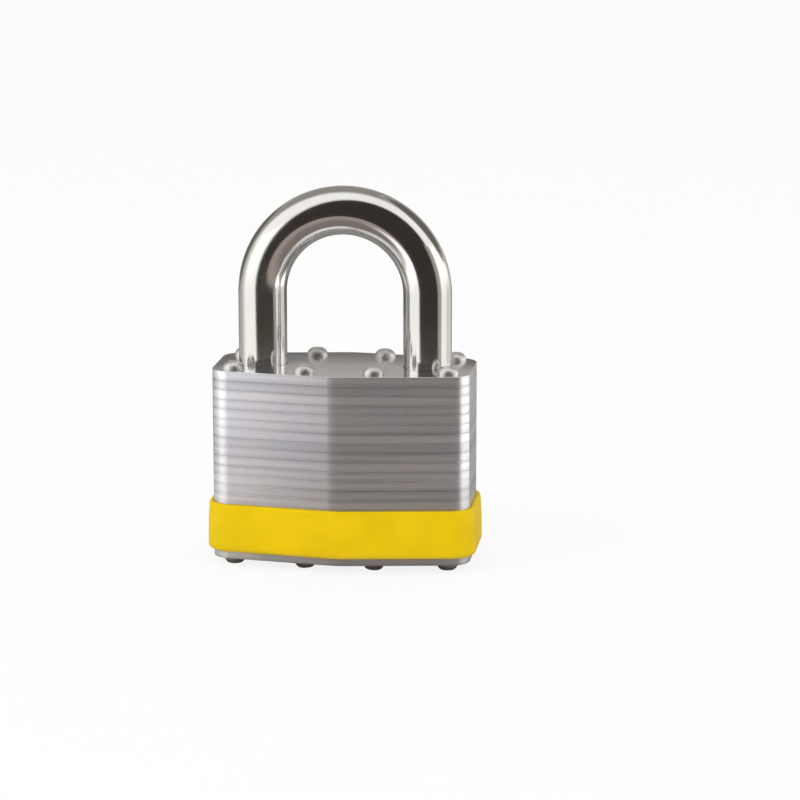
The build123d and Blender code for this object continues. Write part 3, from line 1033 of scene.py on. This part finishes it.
@dataclass(frozen=True, kw_only=True)
class RingCard(ReflectionCard):
    """A card round the lock between two rings, each of a radius and height, in sectors that melt together."""

    sectors: tuple[Sector, ...]
    end: float
    lower_ring: Pair
    upper_ring: Pair
    feather: float = 4.0

    def point(self, across: float, up: float) -> tuple[Vector, Vector]:
        """Gives a point between the rings, whose colour goes from sector to sector over a feather.

        Args:
            across: Share of the way round.
            up: Share of the way from the lower ring to the upper.

        Returns:
            The point's place and its colour.
        """
        first = self.sectors[0]
        azimuth = first.start + across * (self.end - first.start)
        radius, height = Vector(self.lower_ring).lerp(Vector(self.upper_ring), up)
        tone = first.colour(up)
        for sector in self.sectors[1:]:
            reached = eased(azimuth, sector.start - self.feather, sector.start + self.feather)
            tone = tone.lerp(sector.colour(up), reached)
        return bearing(azimuth, 0.0) * radius + Vector((0.0, 0.0, height)), tone


@dataclass(frozen=True, kw_only=True)
class DomeCard(ReflectionCard):
    """A round domed glowing card on one side of the lock, a painted reflection, such as a dim one by the
    camera.
    """

    colour: Triple
    foot: Triple
    rim: Triple = (1.0, 1.0, 1.0)
    azimuth: float
    elevation: float
    half_angle: float
    distance: float = 170.0 * MM
    centre_height: float = 50.0 * MM
    feather: float = 8.0
    foot_span: Pair = (0.0, 45.0)

    def point(self, across: float, up: float) -> tuple[Vector, Vector]:
        """Gives a point of the dome, whose colour changes towards the foot and fades at the rim.

        Args:
            across: Share of the way round.
            up: Share of the way out from the middle.

        Returns:
            The point's place and its colour.
        """
        inner, outer = self.half_angle - self.feather / 2, self.half_angle + self.feather / 2
        turn, lean = math.tau * across, up * outer
        forward = bearing(self.azimuth, self.elevation)
        right = Vector((0.0, 0.0, 1.0)).cross(forward).normalized()
        outward = right * math.cos(turn) + forward.cross(right) * math.sin(turn)
        way = forward * math.cos(math.radians(lean)) + outward * math.sin(math.radians(lean))
        sunk = eased(-lean * math.sin(turn), *self.foot_span)
        tone = Vector(self.colour).lerp(Vector(self.foot), sunk)
        tone = tone.lerp(Vector(self.rim), eased(lean, inner, outer))
        return way * self.distance + Vector((0.0, 0.0, self.centre_height)), tone


@dataclass(frozen=True, kw_only=True)
class FootShade(ReflectionCard):
    """The dark under the lock, inside a line round its foot."""

    edge: list[Vector]
    middle: Triple
    rim: Triple
    height: float = 0.3 * MM
    fade: Pair = (0.7, 1.0)

    def point(self, across: float, up: float) -> tuple[Vector, Vector]:
        """Gives a point inside the line, whose colour fades towards it.

        Args:
            across: Share of the way round.
            up: Share of the way out from the middle.

        Returns:
            The point's place and its colour.
        """
        end = self.edge[round(across * len(self.edge)) % len(self.edge)]
        tone = Vector(self.middle).lerp(Vector(self.rim), eased(up, *self.fade))
        return Vector((end.x * up, end.y * up, self.height)), tone


@dataclass
class Studio:
    """Pale floor, soft lamps, glowing cards that paint the lock's reflections, and a white surround."""

    floor_half: float = 4.0
    floor_colour: Triple = (0.92, 0.92, 0.92)
    floor_white: float = 0.86
    fibres: Pattern = Pattern(even(40.0))
    fibre_tone: Ramp = Ramp(0.3, 0.7, 0.985, 1.0)
    ambient: float = 0.84
    # Tones of the glowing cards, which paint the reflections in the metal: below 1 painted dark surroundings,
    # above 1 painted bright bands
    dark: Triple = (0.04, 0.034, 0.029)
    umber: Triple = (0.15, 0.123, 0.107)
    brown: Triple = (0.21, 0.181, 0.164)
    tan: Triple = (0.34, 0.298, 0.272)
    lilac: Triple = (1.42, 1.33, 1.42)
    beige: Triple = (0.37, 0.34, 0.31)
    grey: Triple = (0.27, 0.262, 0.255)
    warm: Triple = (0.44, 0.42, 0.385)
    dusk: Triple = (0.29, 0.275, 0.255)
    dim: Triple = (0.13, 0.125, 0.12)
    silver: Triple = (0.7, 0.69, 0.665)
    white: Triple = (1.0, 1.0, 0.98)
    cream: Triple = (0.55, 0.53, 0.5)
    bright: Triple = (2.4, 2.4, 2.36)
    glow: Triple = (1.2, 1.2, 1.18)
    ring_steps: int = 180
    floor_reach: Pair = (12.0 * MM, 190.0 * MM)
    floor_lift: float = 0.2 * MM
    wall_radius: float = 160.0 * MM
    wall_height: float = 130.0 * MM
    wall_turn: Pair = (0.25, 0.5)
    board_radius: float = 50.0 * MM
    board_height: float = 48.7 * MM
    shade_margin: float = 5.0 * MM

    def lay_floor(self) -> None:
        """Lays a plain pale floor under the lock, which looks white and keeps the lock's shadow."""
        material = bpy.data.materials.new("studio_floor")
        wiring = Wiring(material)
        fibres = wiring.ramp(wiring.noise(self.fibres), self.fibre_tone)
        paper = wiring.add("BsdfDiffuse", {"Color": wiring.shade(self.floor_colour, fibres)})
        white = wiring.add("Emission")
        share = wiring.sum("MULTIPLY", wiring.seen_rays(), self.floor_white)
        both = wiring.add("MixShader", {0: share, 1: paper[0], 2: white[0]})
        wiring.add("OutputMaterial", {"Surface": both[0]})
        mesh = bmesh.new()
        bmesh.ops.create_grid(mesh, x_segments=1, y_segments=1, size=self.floor_half)
        new_piece("studio_floor", mesh, material)

    def light_world(self) -> None:
        """Surrounds the lock with white that metal shows too, and with a plain level of soft light."""
        world = bpy.data.worlds.new("studio")
        wiring = Wiring(world)
        strength = wiring.ramp(wiring.seen_rays(), Ramp(0.0, 1.0, self.ambient, 1.0))
        sky = wiring.add("Background", {"Color": (1.0, 1.0, 1.0, 1.0), "Strength": strength})
        wiring.add("OutputWorld", {"Surface": sky[0]})
        bpy.context.scene.world = world

    def lamps(self) -> list[Softbox]:
        """Gives the soft lamps: a stronger one on the left and a weaker one on the right.

        Returns:
            The lamps.
        """
        return [
            Softbox("key_softbox", azimuth=-52.0, elevation=42.0, distance=0.7, side=0.42, power=1.2),
            Softbox("fill_softbox", azimuth=70.0, elevation=35.0, distance=0.8, side=0.4, power=0.5),
        ]

    def domes(self) -> list[DomeCard]:
        """Gives the domed cards, painted reflections: dim in front, grey behind and two dark spots behind.

        Returns:
            The cards.
        """
        # Painted reflections: glowing cards that stand in for the surroundings that the metal would reflect
        front = DomeCard(
            "painted_reflection_front",
            colour=self.dark,
            foot=self.umber,
            azimuth=15.5,
            elevation=14.0,
            half_angle=50.0,
            distance=190.0 * MM,
            foot_span=(20.0, 55.0),
        )
        back = DomeCard(
            "painted_reflection_back",
            colour=self.dusk,
            foot=self.warm,
            azimuth=188.3,
            elevation=11.8,
            half_angle=70.0,
            feather=16.0,
            foot_span=(-30.0, 0.0),
        )
        spots = [
            DomeCard(
                name,
                colour=self.dim,
                foot=self.dim,
                rim=self.warm,
                azimuth=azimuth,
                elevation=elevation,
                half_angle=half_angle,
                distance=150.0 * MM,
            )
            for name, azimuth, elevation, half_angle in (
                ("painted_reflection_spot_left", 231.0, 13.0, 19.0),
                ("painted_reflection_spot_right", 133.0, 35.0, 22.0),
            )
        ]
        return [front, back, *spots]

    def rings(self) -> list[RingCard]:
        """Gives the ring cards, painted reflections: floor round the lock, walls beside it, a low board
        behind.

        Returns:
            The cards.
        """
        # Painted reflections: these glowing cards paint what the metal shows below and beside the lock,
        # bright bands included
        floor = RingCard(
            "painted_floor_reflection",
            self.ring_steps,
            sectors=(
                Sector(20.0, self.brown, self.tan),
                Sector(68.0, self.beige, self.bright, turn=(0.35, 0.6)),
                Sector(130.0, self.grey, self.grey),
                Sector(236.0, self.cream, self.silver),
                Sector(286.0, self.cream, self.bright, turn=(0.4, 0.65)),
                Sector(311.0, self.brown, self.lilac, turn=(0.35, 0.58)),
                Sector(340.0, self.brown, self.tan),
            ),
            end=380.0,
            lower_ring=(self.floor_reach[0], self.floor_lift),
            upper_ring=(self.floor_reach[1], self.floor_lift),
        )
        walls = RingCard(
            "painted_wall_reflection",
            self.ring_steps,
            sectors=(
                Sector(54.0, self.dark, self.dark),
                Sector(59.0, self.beige, self.beige),
                Sector(76.0, self.white, self.glow, self.wall_turn),
                Sector(104.0, self.silver, self.glow, self.wall_turn),
                Sector(130.0, self.silver, self.silver),
                Sector(142.0, self.warm, self.warm),
                Sector(260.0, self.silver, self.silver),
                Sector(274.0, self.white, self.glow, self.wall_turn),
            ),
            end=320.0,
            lower_ring=(self.wall_radius, 0.0),
            upper_ring=(self.wall_radius, self.wall_height),
        )
        board = RingCard(
            "painted_board_reflection",
            sectors=(Sector(142.0, self.grey, self.dim, turn=(0.7, 0.85)),),
            end=237.0,
            lower_ring=(self.board_radius, 0.0),
            upper_ring=(self.board_radius, self.board_height),
        )
        return [floor, walls, board]

    def build(self) -> None:
        """Sets up the whole studio."""
        self.lay_floor()
        self.light_world()
        low, high = CAD_BOX
        for lamp in self.lamps():
            lamp.build((low + high) / 2)
        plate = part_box("bottom_plate")[1]
        edge = CaseOutline(plate.x, plate.y).loop(self.shade_margin)
        shade = FootShade("foot_shade", edge=edge, middle=self.dark, rim=self.brown)
        for card in (*self.domes(), *self.rings(), shade):
            card.build()


@dataclass
class PhotoCamera:
    """The camera that took the view: a long lens, a little to the right and above, aimed beside the lock."""

    azimuth: float = 8.277
    elevation: float = 11.78
    distance: float = 0.615
    target_height: float = 36.8 * MM
    focal_pixels: float = 3127.0
    frame_pixels: float = 800.0
    target_pixel: Pair = (345.3, 375.8)
    sensor: float = 36.0
    nearest: float = 6.15 * MM

    def build(self) -> None:
        """Sets up the camera, turned so that the target falls on its pixel with no lens shift."""
        away = bearing(self.azimuth, self.elevation)
        right = Vector((0.0, 0.0, 1.0)).cross(away).normalized()
        up = away.cross(right)
        across, down = ((pixel - self.frame_pixels / 2) / self.focal_pixels for pixel in self.target_pixel)
        gaze = -away - right * across + up * down
        lens = bpy.data.cameras.new("photo_camera")
        lens.sensor_width = self.sensor
        lens.lens = self.focal_pixels * self.sensor / self.frame_pixels
        lens.clip_start = self.nearest
        holder = bpy.data.objects.new("photo_camera", lens)
        holder.location = Vector((0.0, 0.0, self.target_height)) + away * self.distance
        holder.rotation_mode = "QUATERNION"
        holder.rotation_quaternion = gaze.to_track_quat("-Z", "Y")
        bpy.context.scene.collection.objects.link(holder)
        bpy.context.scene.camera = holder


def main() -> None:
    """Builds the lock's looks, the studio and the camera, in that order."""
    logging.basicConfig(level=logging.INFO, format="%(message)s")
    bpy.context.scene.view_settings.view_transform = "Standard"
    hardened, wire = HARDENED_STEEL.make(), SPRING_WIRE.make()
    LaminatedCase().dress()
    Bumper().build()
    for works in (Shackle(), LeverWorks(), PinCylinder()):
        works.dress(hardened)
        works.build(wire)
    Studio().build()
    PhotoCamera().build()


if __name__ == "__main__":
    main()
